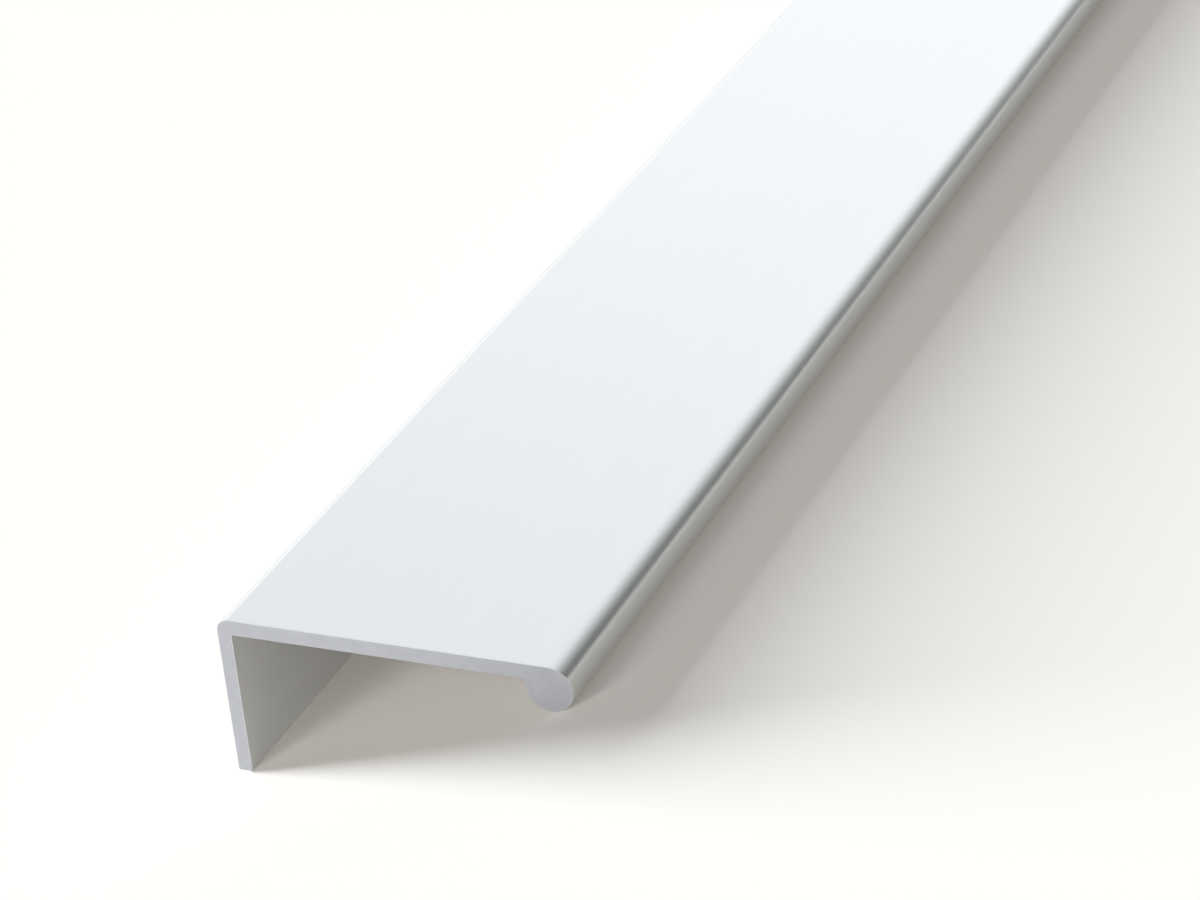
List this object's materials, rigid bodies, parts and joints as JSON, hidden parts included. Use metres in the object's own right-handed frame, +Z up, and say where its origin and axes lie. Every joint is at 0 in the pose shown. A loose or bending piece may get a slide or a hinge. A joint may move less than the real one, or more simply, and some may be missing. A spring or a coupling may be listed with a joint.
{
  "type": "finger pull profile",
  "caption": "Extruded aluminium edge pull for a handleless front: a short leg, a wide flange and a round bead grip along the flange's free edge.",
  "frame": {"origin": "on the floor, under the middle of the profile's box", "axes": "+Z up as the profile lies loose on its toe edge and its bead, +Y along the length, +X from the leg towards the bead"},
  "size_m": [0.0432, 0.6, 0.0175],
  "materials": {
    "anodised_aluminium": "satin silver anodised, cut ends matt"
  },
  "bodies": {
    "root": {"pull_profile": "anodised_aluminium"}
  },
  "joints": []
}
